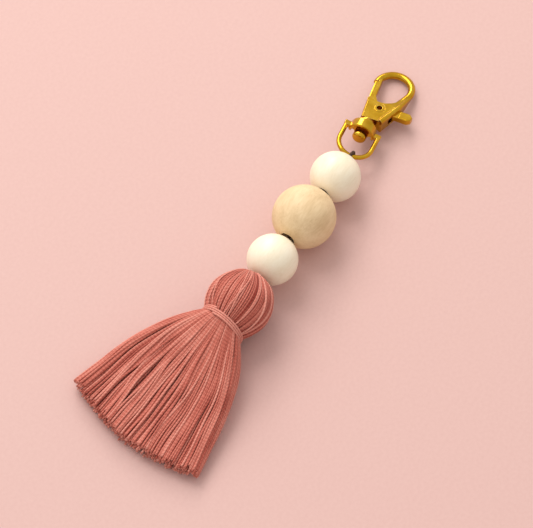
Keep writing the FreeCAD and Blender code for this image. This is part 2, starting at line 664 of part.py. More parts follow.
def tassel_skirt():
    """The hanging threads as one soft body, lying flat and fanned out."""
    stations = [neck_end() + SKIRT_GAP, 5.0, 10.0, 16.0, 24.0, 35.0, SKIRT_LENGTH + SKIRT_TRIM]
    body = Part.makeLoft([skirt_section(s) for s in stations], True, False)
    trim_centre = Vec(SKIRT_LENGTH - SKIRT_END_RADIUS, SKIRT_END_SHIFT, -1)
    body = body.common(Part.makeCylinder(SKIRT_END_RADIUS, 30, trim_centre))
    body.rotate(Vec(0, 0, 0), Z_AXIS, 180 - SKIRT_YAW)
    body.translate(Vec(NECK_C.x, NECK_C.y, 0))
    return body


# ---- the whole object ----
def sub_parts():
    """Every sub-part at its resting place, by name."""
    return {
        "hook_body": placed_in_clasp(hook_body()),
        "clasp_lever": placed_in_clasp(clasp_lever()),
        "lever_rivet": placed_in_clasp(lever_rivet()),
        "lever_spring": placed_in_clasp(lever_spring()),
        "swivel_post": placed_in_clasp(swivel_post()),
        "swivel_ring": placed_in_clasp(swivel_ring(), RING_ROLL),
        "cord_loop": cord_loop(),
        "cord_top": cord_top(),
        "cord_middle": cord_middle(),
        "cord_lower": cord_lower(),
        "cord_end": cord_end(),
        "bead_upper": bead_upper(),
        "bead_middle": bead_middle(),
        "bead_lower": bead_lower(),
        "tassel_core": tassel_core(),
        "head_threads": head_threads(),
        "neck_binding": neck_binding(),
        "tassel_skirt": tassel_skirt(),
    }


def main():
    os.makedirs("parts", exist_ok=True)
    for name, shape in sub_parts().items():
        shape.translate(Vec(-BOX_CENTRE_X, -BOX_CENTRE_Y, 0))
        solid = shape.Solids[0] if len(shape.Solids) == 1 else shape
        print(f"{name:14s} solids {len(shape.Solids)} valid {shape.isValid()} volume {shape.Volume:9.2f}")
        solid.exportStep(f"parts/{name}.step")


main()
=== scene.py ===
import json
import math

import bpy
import numpy as np
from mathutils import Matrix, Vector


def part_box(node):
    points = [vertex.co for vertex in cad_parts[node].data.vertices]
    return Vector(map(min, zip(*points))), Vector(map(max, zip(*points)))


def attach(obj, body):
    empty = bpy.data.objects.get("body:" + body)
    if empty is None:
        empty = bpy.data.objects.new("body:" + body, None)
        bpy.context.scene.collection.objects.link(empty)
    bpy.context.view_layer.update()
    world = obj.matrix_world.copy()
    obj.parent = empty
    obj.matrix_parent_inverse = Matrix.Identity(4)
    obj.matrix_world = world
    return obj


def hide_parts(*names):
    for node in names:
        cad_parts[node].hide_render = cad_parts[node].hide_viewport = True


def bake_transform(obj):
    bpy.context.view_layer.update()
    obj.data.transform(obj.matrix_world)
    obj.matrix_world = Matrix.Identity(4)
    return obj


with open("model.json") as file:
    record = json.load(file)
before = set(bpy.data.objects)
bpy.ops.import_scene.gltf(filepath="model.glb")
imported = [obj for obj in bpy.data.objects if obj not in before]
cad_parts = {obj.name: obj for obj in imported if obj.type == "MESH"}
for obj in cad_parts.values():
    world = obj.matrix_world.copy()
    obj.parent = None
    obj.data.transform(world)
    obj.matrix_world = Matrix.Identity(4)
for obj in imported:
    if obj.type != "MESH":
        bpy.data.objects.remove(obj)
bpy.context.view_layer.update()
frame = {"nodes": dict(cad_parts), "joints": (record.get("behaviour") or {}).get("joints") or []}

# Bead and tassel keychain. Lengths are in metres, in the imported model's frame: +X runs along the cord
# from the tassel to the clasp and +Z is up. Sizes that are easier to read in millimetres are written as
# a number times MM.
MM = 0.001
RNG = np.random.default_rng(11)
JOINTS = {joint["name"]: joint for joint in frame["joints"]}


def place(joint):
    """Where a joint is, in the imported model's frame."""
    return np.array(JOINTS[joint]["pos_m"], float)


def unit(v):
    v = np.asarray(v, float)
    return v / np.linalg.norm(v, axis=-1, keepdims=True)


def half_size(node):
    """Half of a CAD node's size along each axis, in metres."""
    low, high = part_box(node)
    return (np.array(high) - np.array(low)) / 2


HEAD = place("tassel_spin")
NECK = place("skirt_sway")
HEAD_AXIS = unit(JOINTS["tassel_spin"]["axis"])
HEAD_R = half_size("head_threads")[1]
WRAP_R = 0.38 * MM                      # half the thickness of the thread wound round the neck
NECK_R = half_size("neck_binding")[2] - 2 * WRAP_R
UP = np.array([0.0, 0.0, 1.0])


# ---- camera ----
CAMERA_ELEVATION = 60.0
CAMERA_FORWARD = (0.842, 0.539)        # the horizontal direction in which the camera looks
CAMERA_DISTANCE = 1.2
FRAME_WIDTH = 162.5 * MM                # how much the picture shows from side to side
FRAME_CENTRE = HEAD + np.array([13.36, -1.29, 6.09]) * MM
SENSOR_WIDTH = 36.0


def look_direction():
    turn = math.radians(CAMERA_ELEVATION)
    level = unit(np.array([*CAMERA_FORWARD, 0.0])) * math.cos(turn)
    return level - UP * math.sin(turn)


def add_camera():
    data = bpy.data.cameras.new("camera")
    data.sensor_width = SENSOR_WIDTH
    data.lens = SENSOR_WIDTH * CAMERA_DISTANCE / FRAME_WIDTH
    data.clip_start = 0.01
    data.clip_end = 20
    camera = bpy.data.objects.new("camera", data)
    bpy.context.scene.collection.objects.link(camera)
    look = Vector(look_direction())
    camera.location = Vector(FRAME_CENTRE) - look * CAMERA_DISTANCE
    camera.rotation_euler = look.to_track_quat("-Z", "Y").to_euler()
    bpy.context.scene.camera = camera


# ---- node materials ----
class Nodes:
    """Small helper that adds nodes to one material and links them by socket name."""

    def __init__(self, name):
        self.material = bpy.data.materials.new(name)
        self.material.use_nodes = True
        self.tree = self.material.node_tree
        self.shader = self.tree.nodes["Principled BSDF"]

    def add(self, kind, settings=(), **inputs):
        node = self.tree.nodes.new(kind)
        for key, value in dict(settings).items():
            setattr(node, key, value)
        for key, value in inputs.items():
            socket = self.socket(node, key)
            self.feed(socket, value)
        return node

    @staticmethod
    def socket(node, key):
        if key.startswith("in") and key[2:].isdigit():
            return node.inputs[int(key[2:])]
        return node.inputs[key.replace("_", " ")]

    def feed(self, socket, value):
        if isinstance(value, bpy.types.NodeSocket):
            self.tree.links.new(value, socket)
        else:
            socket.default_value = value

    def set(self, **inputs):
        for key, value in inputs.items():
            self.feed(self.shader.inputs[key.replace("_", " ")], value)

    def coordinates(self, scale):
        """Object coordinates stretched by three factors, per metre."""
        source = self.add("ShaderNodeTexCoord")
        mapping = self.add("ShaderNodeMapping", Vector=source.outputs["Object"], Scale=scale)
        return mapping.outputs["Vector"]

    def attribute(self, name):
        return self.add("ShaderNodeAttribute", {"attribute_name": name}).outputs["Fac"]

    def noise(self, vector, scale, detail=3.0, roughness=0.5, distortion=0.0):
        node = self.add("ShaderNodeTexNoise", Vector=vector, Scale=scale, Detail=detail,
                        Roughness=roughness, Distortion=distortion)
        return node.outputs["Fac"]

    def ramp(self, value, stops):
        """Colours by value: stops are (position, colour)."""
        node = self.add("ShaderNodeValToRGB", Fac=value)
        elements = node.color_ramp.elements
        while len(elements) < len(stops):
            elements.new(0.5)
        for element, (position, colour) in zip(elements, stops):
            element.position = position
            element.color = (*colour, 1.0)
        return node.outputs["Color"]

    def mix(self, share, first, second, blend="MIX"):
        node = self.add("ShaderNodeMix", {"data_type": "RGBA", "blend_type": blend})
        self.feed(node.inputs[0], share)
        self.feed(node.inputs[6], first)
        self.feed(node.inputs[7], second)
        return node.outputs[2]

    def math(self, kind, first, second=0.0, third=0.0):
        return self.add("ShaderNodeMath", {"operation": kind}, in0=first, in1=second, in2=third).outputs[0]

    def spread(self, value, low, high, out_low, out_high):
        node = self.add("ShaderNodeMapRange", Value=value)
        for key, number in (("From Min", low), ("From Max", high), ("To Min", out_low), ("To Max", out_high)):
            node.inputs[key].default_value = number
        return node.outputs["Result"]

    def bump(self, height, distance, strength=1.0, normal=None):
        node = self.add("ShaderNodeBump", Height=height, Distance=distance, Strength=strength)
        if normal is not None:
            self.feed(node.inputs["Normal"], normal)
        return node.outputs["Normal"]


def colour(red, green, blue):
    """A colour from sRGB values of 0 to 255, in linear light."""
    channels = np.array([red, green, blue]) / 255
    low = channels / 12.92
    high = ((channels + 0.055) / 1.055) ** 2.4
    return tuple(float(c) for c in np.where(channels <= 0.04045, low, high))


EDGE_ROUNDING = 0.14 * MM               # how far the rounded edges, and the painted highlight on them, reach


def gold_material():
    """Polished plate over a casting: soft changes of tone, fine scuffs, and smoother rounded edges with a
    pale painted highlight on them, in patches.
    """
    m = Nodes("gold_plate")
    around = m.coordinates((1, 1, 1))
    cast = m.noise(around, 260, 3, 0.5)
    scuffs = m.noise(m.coordinates((1, 2.5, 1)), 2600, 3, 0.6)
    highlight_patches = m.noise(around, 800, 4, 0.6)
    tint = m.ramp(cast, [(0.3, colour(190, 142, 32)), (0.52, colour(204, 157, 42)),
                         (0.75, colour(218, 174, 62))])
    edge = m.add("ShaderNodeBevel", {"samples": 8}, Radius=EDGE_ROUNDING)
    facing = m.add("ShaderNodeNewGeometry").outputs["Normal"]
    turned = m.add("ShaderNodeVectorMath", {"operation": "DOT_PRODUCT"}, in0=edge.outputs["Normal"],
                   in1=facing)
    on_edge = m.spread(turned.outputs["Value"], 0.99, 0.84, 0.0, 1.0)
    # painted highlight: the edges are mixed towards a pale gold, broken up in patches
    edge_highlight = m.math("MULTIPLY", on_edge, m.spread(highlight_patches, 0.35, 0.6, 0.3, 1.0))
    tint = m.mix(edge_highlight, tint, (*colour(248, 224, 146), 1))
    rough = m.spread(scuffs, 0.3, 0.7, 0.12, 0.2)
    height = m.math("ADD", cast, m.math("MULTIPLY", scuffs, 0.1))
    normal = m.bump(height, 0.02 * MM, 0.2, edge.outputs["Normal"])
    m.set(Base_Color=tint, Metallic=1.0, Roughness=rough, Normal=normal)
    return m.material


def steel_material():
    m = Nodes("spring_wire")
    drawn = m.noise(m.coordinates((1, 1, 1)), 6000, 3)
    tint = m.ramp(drawn, [(0.3, (0.36, 0.36, 0.38)), (0.7, (0.55, 0.55, 0.57))])
    m.set(Base_Color=tint, Metallic=1.0, Roughness=m.spread(drawn, 0.3, 0.7, 0.22, 0.4),
          Normal=m.bump(drawn, 0.01 * MM))
    return m.material


def wood_material(name, shades, pores, axis_stretch, roughness, grain_depth, coat):
    """Turned wood: soft mottling, fibres along the bead's hole, and fine dark pores."""
    m = Nodes(name)
    broad = m.noise(m.coordinates((0.6, 1, 1)), 130, 3, 0.5, 0.4)
    patches = m.noise(m.coordinates((0.4, 1, 1)), 420, 3, 0.5)
    fibres = m.noise(m.coordinates((axis_stretch, 1, 1)), 1700, 5, 0.6, 0.2)
    mixed = m.math("ADD", m.math("MULTIPLY", broad, 0.45), m.math("MULTIPLY", patches, 0.25))
    mixed = m.math("ADD", mixed, m.math("MULTIPLY", fibres, 0.3))
    tint = m.ramp(mixed, shades)
    spots = m.noise(m.coordinates((axis_stretch * 0.7, 1, 1)), 3600, 2, 0.5)
    pore = m.spread(spots, 0.66, 0.74, 0.0, 1.0)
    tint = m.mix(m.math("MULTIPLY", pore, pores), tint, (*colour(160, 122, 84), 1))
    height = m.math("SUBTRACT", fibres, m.math("MULTIPLY", pore, 0.8))
    rough = m.spread(fibres, 0.3, 0.7, roughness[0], roughness[1])
    m.set(Base_Color=tint, Roughness=rough, Normal=m.bump(height, grain_depth, 0.6))
    m.shader.inputs["Coat Weight"].default_value = coat
    m.shader.inputs["Coat Roughness"].default_value = 0.28
    return m.material


def thread_material(name, dark, middle, light, strands_per_turn, turns_per_metre, sheen_colour):
    """Twisted thread: its plies run in a helix along each thread, with fine fibres across them."""
    m = Nodes(name)
    along = m.attribute("along")
    around = m.attribute("around")
    tone = m.attribute("tone")
    turn = m.math("ADD", m.math("MULTIPLY", along, turns_per_metre),
                  m.math("MULTIPLY", around, strands_per_turn))
    ply = m.math("SINE", m.math("MULTIPLY", turn, 2 * math.pi))
    on_thread = m.add("ShaderNodeCombineXYZ", X=m.math("MULTIPLY", along, 900.0),
                      Y=m.math("MULTIPLY", around, 6.0), Z=m.math("MULTIPLY", tone, 40.0)).outputs["Vector"]
    fibre = m.noise(on_thread, 2.2, 4, 0.65)
    slow = m.noise(m.coordinates((1, 1, 1)), 130, 3, 0.5)
    value = m.math("ADD", m.math("MULTIPLY", tone, 0.5), m.math("MULTIPLY", slow, 0.24))
    value = m.math("ADD", value, m.math("MULTIPLY", fibre, 0.22))
    value = m.math("ADD", value, m.math("MULTIPLY", ply, 0.035))
    tint = m.ramp(value, [(0.22, dark), (0.5, middle), (0.8, light)])
    height = m.math("ADD", m.math("MULTIPLY", ply, 0.5), m.math("MULTIPLY", fibre, 0.6))
    m.set(Base_Color=tint, Roughness=m.spread(fibre, 0.3, 0.7, 0.62, 0.85),
          Normal=m.bump(height, 0.08 * MM, 0.8))
    m.shader.inputs["Sheen Weight"].default_value = 0.22
    m.shader.inputs["Sheen Roughness"].default_value = 0.45
    m.shader.inputs["Sheen Tint"].default_value = (*sheen_colour, 1)
    m.shader.inputs["Specular IOR Level"].default_value = 0.25
    return m.material


# ---- threads as tubes ----
def tube_mesh(name, paths, radii, sides, tones):
    """One mesh of closed tubes. paths is (tubes, points, 3), radii is (tubes, points), tones is (tubes,)."""
    tubes, points, _ = paths.shape
    ahead = unit(np.gradient(paths, axis=1))
    side = unit(np.cross(ahead, np.broadcast_to(np.array([0.12, 0.31, 0.94]), ahead.shape)))
    lift = np.cross(side, ahead)
    turn = np.arange(sides) * 2 * math.pi / sides
    ring = (side[:, :, None] * np.cos(turn)[None, None, :, None]
            + lift[:, :, None] * np.sin(turn)[None, None, :, None])
    skin = paths[:, :, None] + ring * radii[:, :, None, None]
    first = paths[:, 0] - ahead[:, 0] * radii[:, 0, None] * 0.5
    last = paths[:, -1] + ahead[:, -1] * radii[:, -1, None] * 0.5
    per_tube = points * sides + 2
    vertices = np.concatenate([skin.reshape(tubes, -1, 3), first[:, None], last[:, None]], axis=1)
    k = np.arange(points - 1)[:, None] * sides
    j = np.arange(sides)[None, :]
    nxt = (j + 1) % sides
    corners = np.broadcast_arrays(k + j, k + nxt, k + sides + nxt, k + sides + j)
    quads = np.stack(corners, axis=-1).reshape(-1, 4)
    near = np.stack([np.full(sides, points * sides), nxt[0], j[0]], axis=-1)
    base = (points - 1) * sides
    far = np.stack([np.full(sides, points * sides + 1), base + j[0], base + nxt[0]], axis=-1)
    shift = (np.arange(tubes) * per_tube)[:, None, None]
    quads = (quads[None] + shift).reshape(-1, 4)
    caps = (np.concatenate([near, far])[None] + shift).reshape(-1, 3)
    mesh = bpy.data.meshes.new(name)
    mesh.vertices.add(tubes * per_tube)
    mesh.vertices.foreach_set("co", vertices.reshape(-1).astype(np.float32))
    loops = np.concatenate([quads.reshape(-1), caps.reshape(-1)]).astype(np.int32)
    starts = np.concatenate([np.arange(len(quads)) * 4, len(quads) * 4 + np.arange(len(caps)) * 3])
    starts = starts.astype(np.int32)
    mesh.loops.add(len(loops))
    mesh.loops.foreach_set("vertex_index", loops)
    mesh.polygons.add(len(starts))
    mesh.polygons.foreach_set("loop_start", starts)
    mesh.update(calc_edges=True)
    mesh.polygons.foreach_set("use_smooth", np.ones(len(starts), bool))
    step = np.linalg.norm(np.diff(paths, axis=1), axis=-1)
    length = np.concatenate([np.zeros((tubes, 1)), np.cumsum(step, axis=1)], axis=1)
    along = np.concatenate([np.repeat(length, sides, axis=1), length[:, :1], length[:, -1:]], axis=1)
    # the angle round the tube goes up and back down, so that it has no jump where the skin closes
    around = np.tile(1 - np.abs(2 * np.arange(sides) / sides - 1), points)
    around = np.broadcast_to(np.concatenate([around, [0, 0]]), (tubes, per_tube))
    tone = np.broadcast_to(tones[:, None], (tubes, per_tube))
    for key, values in (("along", along), ("around", around), ("tone", tone)):
        layer = mesh.attributes.new(key, "FLOAT", "POINT")
        layer.data.foreach_set("value", values.reshape(-1).astype(np.float32))
    return mesh


def add_piece(name, mesh, material):
    piece = bpy.data.objects.new(name, mesh)
    bpy.context.scene.collection.objects.link(piece)
    mesh.materials.append(material)
    return piece


def smooth_step(value):
    value = np.clip(value, 0, 1)
    return value * value * (3 - 2 * value)


def wave_sum(s, count, amplitude, longest, shortest):
    """Slow random waves along a length s, one row for each of count threads."""
    total = np.zeros((count, s.shape[-1]))
    for _ in range(3):
        length = RNG.uniform(shortest, longest, (count, 1))
        phase = RNG.uniform(0, 2 * math.pi, (count, 1))
        total += np.sin(2 * math.pi * s / length + phase) * amplitude * RNG.uniform(0.3, 1.0, (count, 1))
    return total / 2


# ---- tassel skirt ----
SKIRT_YAW = math.radians(6.0)
SKIRT_ALONG = np.array([-math.cos(SKIRT_YAW), math.sin(SKIRT_YAW), 0.0])
SKIRT_ACROSS = np.array([-math.sin(SKIRT_YAW), -math.cos(SKIRT_YAW), 0.0])
SKIRT_LENGTH = 45.8 * MM
SKIRT_OPENING = 10.2 * MM               # how much half the width grows as the threads leave the neck
SKIRT_OPENING_REACH = 10.0 * MM
SKIRT_SPREAD = 0.19                     # growth of half the width along the rest of the length
SKIRT_END_RADIUS = 66.0 * MM            # the cut end is an arc
SKIRT_END_SHIFT = 1.2 * MM
SKIRT_BOW = 1.1 * MM                    # sideways bow of the whole bundle
SKIRT_END_TOP = 4.6 * MM                # thickness at the cut end
SKIRT_DROP_REACH = 21.0 * MM            # how fast the top comes down from the neck
SKIRT_REST_REACH = 6.0 * MM             # how fast the underside comes down to the surface
ROW_HEIGHTS = (-0.85, -0.2, 0.35, 0.7, 1.0)
SKIRT_COLUMNS = 68
SKIRT_POINTS = 44
SKIRT_SIDES = 7
THREAD_R = 0.345 * MM
LOCKS = 22
LOCK_PULL = (0.05, 0.24)
PARTING = -0.36                         # where the threads part, as a share of the half width
PARTING_WIDTH = 0.1
PARTING_OPENING = 0.045
PARTING_AT = 27 * MM
PARTING_REACH = 9 * MM
SIDE_THREADS = 18                       # on each side, to close the gaps between the rows
STRAY_THREADS = 16
SHARED_WAVE = 0.15 * MM
OWN_WAVE = 0.15 * MM
DRIFT = 0.28 * MM                       # how far a thread's end strays sideways
STRAY_DRIFT = 1.9 * MM


def skirt_half_width(s):
    return NECK_R + SKIRT_OPENING * (1 - np.exp(-s / SKIRT_OPENING_REACH)) + SKIRT_SPREAD * s


def skirt_bow(s):
    return SKIRT_BOW * np.sqrt(np.sin(math.pi * np.clip(s / (SKIRT_LENGTH + 3 * MM), 0, 1)))


def skirt_top(s):
    rise = NECK[2] + NECK_R - SKIRT_END_TOP
    return SKIRT_END_TOP + rise * np.exp(-((s / SKIRT_DROP_REACH) ** 1.35))


def skirt_bottom(s):
    return 0.04 * MM + (NECK[2] - NECK_R) * np.exp(-((s / SKIRT_REST_REACH) ** 2))


def skirt_point(s, across, up):
    return (np.array([NECK[0], NECK[1], 0.0]) + SKIRT_ALONG * s[..., None]
            + SKIRT_ACROSS * (across - skirt_bow(s))[..., None] + UP * up[..., None])


def square_to_disc(across, up, amount):
    """Moves the corners of a square grid in to a disc, all the way when amount is 1."""
    return across * np.sqrt(1 - amount * up**2 / 2), up * np.sqrt(1 - amount * across**2 / 2)


def skirt_grid():
    """Each thread's place in the bundle, as a column and a row from -1 to 1.

    The rows come first, then both sides, then the strays on top.
    """
    column, row = np.meshgrid(np.linspace(-1, 1, SKIRT_COLUMNS), ROW_HEIGHTS)
    column = column + (np.arange(len(ROW_HEIGHTS)) % 2)[:, None] / SKIRT_COLUMNS
    side_column, side_row = np.meshgrid([-0.985, 0.985], np.linspace(-0.92, 0.96, SIDE_THREADS))
    stray_column = RNG.uniform(-0.95, 0.95, STRAY_THREADS)
    column = np.concatenate([column.ravel(), side_column.ravel(), stray_column])
    row = np.concatenate([row.ravel(), side_row.ravel(), np.ones(STRAY_THREADS)])
    count = len(column)
    column = column + RNG.normal(0, 0.22 / SKIRT_COLUMNS, count)
    row = row + RNG.normal(0, 0.05, count)
    return np.clip(column, -1, 1)[:, None], np.clip(row, -1, 1)[:, None]


def skirt_paths():
    """Centre lines, radii and tones of the skirt's threads."""
    column, row = skirt_grid()
    count = len(column)
    stray = np.arange(count)[:, None] >= count - STRAY_THREADS
    share = np.linspace(0, 1, SKIRT_POINTS)[None, :]
    end_across = skirt_half_width(SKIRT_LENGTH) * column * 0.97
    off_middle = end_across - SKIRT_BOW - SKIRT_END_SHIFT
    end = SKIRT_LENGTH - SKIRT_END_RADIUS + np.sqrt(SKIRT_END_RADIUS**2 - off_middle**2)
    end = end + RNG.normal(-0.2 * MM, 0.35 * MM, (count, 1))
    s = share * end
    # neighbouring threads gather in locks, which get clearer towards the ends
    lock_places = np.linspace(-1, 1, LOCKS) + RNG.uniform(-0.35, 0.35, LOCKS) * 2 / LOCKS
    lock = np.argmin(np.abs(column - lock_places[None, :]), axis=1)
    pull = (lock_places[lock][:, None] - column) * RNG.uniform(*LOCK_PULL, LOCKS)[lock][:, None]
    gathered_column = column + pull * smooth_step(s / (30 * MM))
    # one parting, open widest half way down, in the top row only
    side = np.sign(gathered_column - PARTING)
    near = np.exp(-(((gathered_column - PARTING) / PARTING_WIDTH) ** 2))
    opened = np.exp(-(((s - PARTING_AT) / PARTING_REACH) ** 2)) * (row > 0.85)
    gathered_column = gathered_column + side * near * opened * PARTING_OPENING
    amount = 1 - 0.62 * smooth_step(s / (24 * MM))
    lateral, height = square_to_disc(np.clip(gathered_column, -1, 1), row, amount)
    middle = (skirt_top(s) + skirt_bottom(s)) / 2
    half_height = (skirt_top(s) - skirt_bottom(s)) / 2 - THREAD_R
    across = (skirt_half_width(s) - THREAD_R) * lateral
    up = middle + half_height * height
    free = smooth_step(s / (14 * MM))
    # waves that neighbours share, and smaller ones of each thread's own
    shared = (np.sin(2 * math.pi * s / (31 * MM) + 5.3 * column + 0.6)
              + 0.6 * np.sin(2 * math.pi * s / (19 * MM) - 8.1 * column + 2.1))
    across = across + (SHARED_WAVE * shared + wave_sum(s, count, OWN_WAVE, 34 * MM, 14 * MM)) * free
    drift = RNG.normal(0, 1.0, (count, 1)) * np.where(stray, STRAY_DRIFT, DRIFT)
    across = across + drift * smooth_step((s - 6 * MM) / (38 * MM))
    lock_height = RNG.normal(0, 0.16 * MM, LOCKS)[lock][:, None]
    up = up + (wave_sum(s, count, 0.12 * MM, 30 * MM, 12 * MM) + lock_height) * free
    tight = 0.72 + 0.28 * smooth_step(s / (10 * MM))
    radius = THREAD_R * tight * RNG.uniform(0.9, 1.05, (count, 1))
    up = np.where(stray, np.minimum(up + 0.3 * MM * free, skirt_top(s) + 0.1 * MM), up)
    limit = skirt_half_width(s) - radius
    across = np.clip(across, -limit, limit)
    up = np.maximum(up, np.maximum(skirt_bottom(s), 0.02 * MM) + radius)
    # tone varies at random per thread; the lower, shaded rows are lightened as painted bounce light, and the
    # strays are lighter
    tones = np.clip(RNG.normal(0.5, 0.17, count) + 0.16 * (1 - row[:, 0]) + 0.25 * stray[:, 0], 0, 1)
    return skirt_point(s, across, up), radius, tones


def frayed_ends(paths, radii, tones):
    """The cut plies at the end of each thread, a little untwisted."""
    plies = 3
    points = 4
    start = np.repeat(paths[:, -1], plies, axis=0)
    ahead = np.repeat(unit(paths[:, -1] - paths[:, -3]), plies, axis=0)
    count = len(start)
    splay = RNG.normal(0, 0.22, (count, 3))
    reach = RNG.uniform(0.2, 0.5, (count, 1)) * MM
    share = np.linspace(0, 1, points)[None, :, None]
    lines = start[:, None] - ahead[:, None] * 0.3 * MM + share * (ahead * reach)[:, None]
    lines = lines + share**1.3 * (splay * reach)[:, None]
    lines[..., 2] = np.maximum(lines[..., 2], 0.17 * MM)
    thickness = np.broadcast_to(np.array([0.2, 0.2, 0.18, 0.14]) * MM, (count, points))
    return lines, thickness, np.repeat(tones, plies) * 0.5 + 0.45


def add_skirt(material):
    paths, radii, tones = skirt_paths()
    order = RNG.permutation(len(paths))
    groups = np.array_split(order, 2)
    for number, chosen in enumerate(groups, 1):
        mesh = tube_mesh(f"skirt_threads_{number}", paths[chosen], radii[chosen], SKIRT_SIDES,
                         tones[chosen])
        piece = add_piece(f"skirt_threads_{number}", mesh, material)
        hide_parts("tassel_skirt")
        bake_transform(piece)
    lines, thickness, fibre_tones = frayed_ends(paths, radii, tones)
    piece = add_piece("skirt_fray", tube_mesh("skirt_fray", lines, thickness, 4, fibre_tones), material)
    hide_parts("tassel_skirt")
    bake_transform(piece)


# ---- tassel head ----
THREAD_POLE = unit([0.929, 0.235, 0.284])      # where the threads gather at the top of the head
NECK_POLE = unit(NECK - HEAD)
CROWN_RISE = 0.75 * MM                  # the threads stand up round the cord, where they turn over
CROWN_ANGLE = math.radians(30)
CROWN_WIDTH = math.radians(20)
DIMPLE_DEPTH = 1.1 * MM                 # the threads dip into the hole where they meet
DIMPLE_SHARE = 0.055
HEAD_THREADS = 86
LOOSE_THREADS = 9
HEAD_POINTS = 34
HEAD_SIDES = 7


def head_paths(depth, radius, longitudes, drift, bulge):
    """Threads over the head, each in a plane through the two poles, ending under the neck's wraps."""
    reach = HEAD_R - depth
    top, foot = HEAD + THREAD_POLE * reach, HEAD + NECK_POLE * reach
    chord = unit(foot - top)
    middle = (top + foot) / 2
    first = unit(np.cross(chord, UP))
    second = np.cross(chord, first)
    share = np.linspace(0, 1, HEAD_POINTS)[None, :]
    turn = longitudes[:, None] + drift * smooth_step(share)
    out = first * np.cos(turn)[..., None] + second * np.sin(turn)[..., None]
    offset = np.sum((HEAD - middle) * out, axis=-1, keepdims=True)
    centre = middle + out * offset
    circle = np.sqrt(np.maximum(reach**2 - np.sum((HEAD - centre) ** 2, axis=-1, keepdims=True), 0))
    half = np.linalg.norm(foot - top) / 2
    # from the top, over the side that the plane faces, to the foot
    begin = np.mod(np.arctan2(-offset, np.full_like(offset, -half)), 2 * math.pi)
    finish = np.arctan2(-offset, np.full_like(offset, half))
    sweep = begin + (finish - begin) * share[..., None]
    points = centre + circle * (chord * np.cos(sweep) + out * np.sin(sweep))
    swell = np.sin(math.pi * share) ** 2
    away = unit(points - HEAD)
    from_cord = np.arccos(np.clip(away @ HEAD_AXIS, -1, 1))
    crown = CROWN_RISE * np.exp(-(((from_cord - CROWN_ANGLE) / CROWN_WIDTH) ** 2))
    points = HEAD + away * (reach + (bulge * swell + crown)[..., None])
    dimple = np.exp(-((share / DIMPLE_SHARE) ** 2))
    points = points - unit(points - HEAD) * (DIMPLE_DEPTH * dimple)[..., None]
    return gathered(points, radius, depth)


def gathered(points, radius, depth):
    """Keeps the threads outside the neck's radius where they come near the neck."""
    along = np.sum((points - NECK) * SKIRT_ALONG, axis=-1, keepdims=True)
    away = points - NECK - SKIRT_ALONG * along
    distance = np.linalg.norm(away, axis=-1, keepdims=True)
    least = NECK_R - depth - radius
    wanted = np.where(along > -5 * MM, (distance**6 + least**6) ** (1 / 6), distance)
    blend = smooth_step((along + 7 * MM) / (5 * MM))
    return NECK + SKIRT_ALONG * along + unit(away) * (distance + (wanted - distance) * blend)


def add_head(material):
    """Two layers of threads, the lower one in the grooves of the upper, and a few loose threads on top."""
    grooves = 2 * math.pi / HEAD_THREADS
    even = np.arange(HEAD_THREADS) * grooves
    top_depth = 0.36 * MM + RNG.uniform(-0.12, 0.14, (HEAD_THREADS, 1, 1)) * MM
    top_places = even + RNG.uniform(-0.2, 0.2, HEAD_THREADS) * grooves
    # places, drift, depth, fullness, tone and bulge of each layer
    layers = [
        (top_places, RNG.normal(0.12, 0.035, (HEAD_THREADS, 1)), top_depth, 0.46, 0.5, 0.0),
        # the lower layer, in the grooves, gets a darker tone as painted shade
        (even + grooves / 2, np.full((HEAD_THREADS, 1), 0.12), 0.72 * MM, 0.6, 0.32, 0.0),
        (RNG.uniform(0, 2 * math.pi, LOOSE_THREADS), RNG.normal(0.0, 0.35, (LOOSE_THREADS, 1)),
         0.16 * MM, 0.45, 0.85, 0.22 * MM),
    ]
    all_paths, all_radii, all_tones = [], [], []
    for longitudes, drift, depth, fullness, tone, bulge in layers:
        paths = head_paths(depth, THREAD_R, longitudes, drift, bulge)
        from_axis = distance_from_line(paths, HEAD + THREAD_POLE * HEAD_R, HEAD + NECK_POLE * HEAD_R)
        all_paths.append(paths)
        all_radii.append(np.clip(fullness * grooves * from_axis, 0.17 * MM, THREAD_R))
        all_tones.append(np.clip(RNG.normal(tone, 0.17, len(longitudes)), 0, 1))
    mesh = tube_mesh("head_thread_layers", np.concatenate(all_paths), np.concatenate(all_radii),
                     HEAD_SIDES, np.concatenate(all_tones))
    piece = add_piece("head_thread_layers", mesh, material)
    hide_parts("head_threads")
    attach(piece, "tassel_head")


def distance_from_line(points, start, end):
    direction = unit(end - start)
    away = points - start
    return np.linalg.norm(away - np.sum(away * direction, axis=-1, keepdims=True) * direction, axis=-1)


WRAP_TURNS = 3
WRAP_POINTS = 360
WRAP_PITCH = 0.7 * MM


def add_neck_wraps(material):
    share = np.linspace(0, 1, WRAP_POINTS)
    angle = share * WRAP_TURNS * 2 * math.pi + 1.9
    along = (share - 0.5) * WRAP_TURNS * WRAP_PITCH + 0.16 * MM * np.sin(angle + 0.6)
    ring_r = NECK_R + WRAP_R * (0.9 + 0.12 * np.sin(angle * 1.7))
    path = (NECK + SKIRT_ALONG * along[:, None] + SKIRT_ACROSS * (np.cos(angle) * ring_r)[:, None]
            + UP * (np.sin(angle) * ring_r)[:, None])
    radius = np.full((1, WRAP_POINTS), WRAP_R * 0.82)
    mesh = tube_mesh("neck_wraps", path[None], radius, 12, np.array([0.85]))
    piece = add_piece("neck_wraps", mesh, material)
    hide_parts("neck_binding")
    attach(piece, "tassel_head")


# ---- cord ----
STRAND_R = 0.55 * MM
STRAND_SPREAD = 0.5 * MM                # from the cord's middle to each strand's middle
RING_WIRE_R = 0.77 * MM
LOOP_SPREAD = RING_WIRE_R + STRAND_R + 0.12 * MM
PLY_R = 0.3 * MM
PLY_OFFSET = 0.26 * MM
PLY_PITCH = 2.6 * MM
CORD_STEP = 0.16 * MM
KNOT_INSET = 3.4 * MM
SMOOTHING_ROUNDS = 14


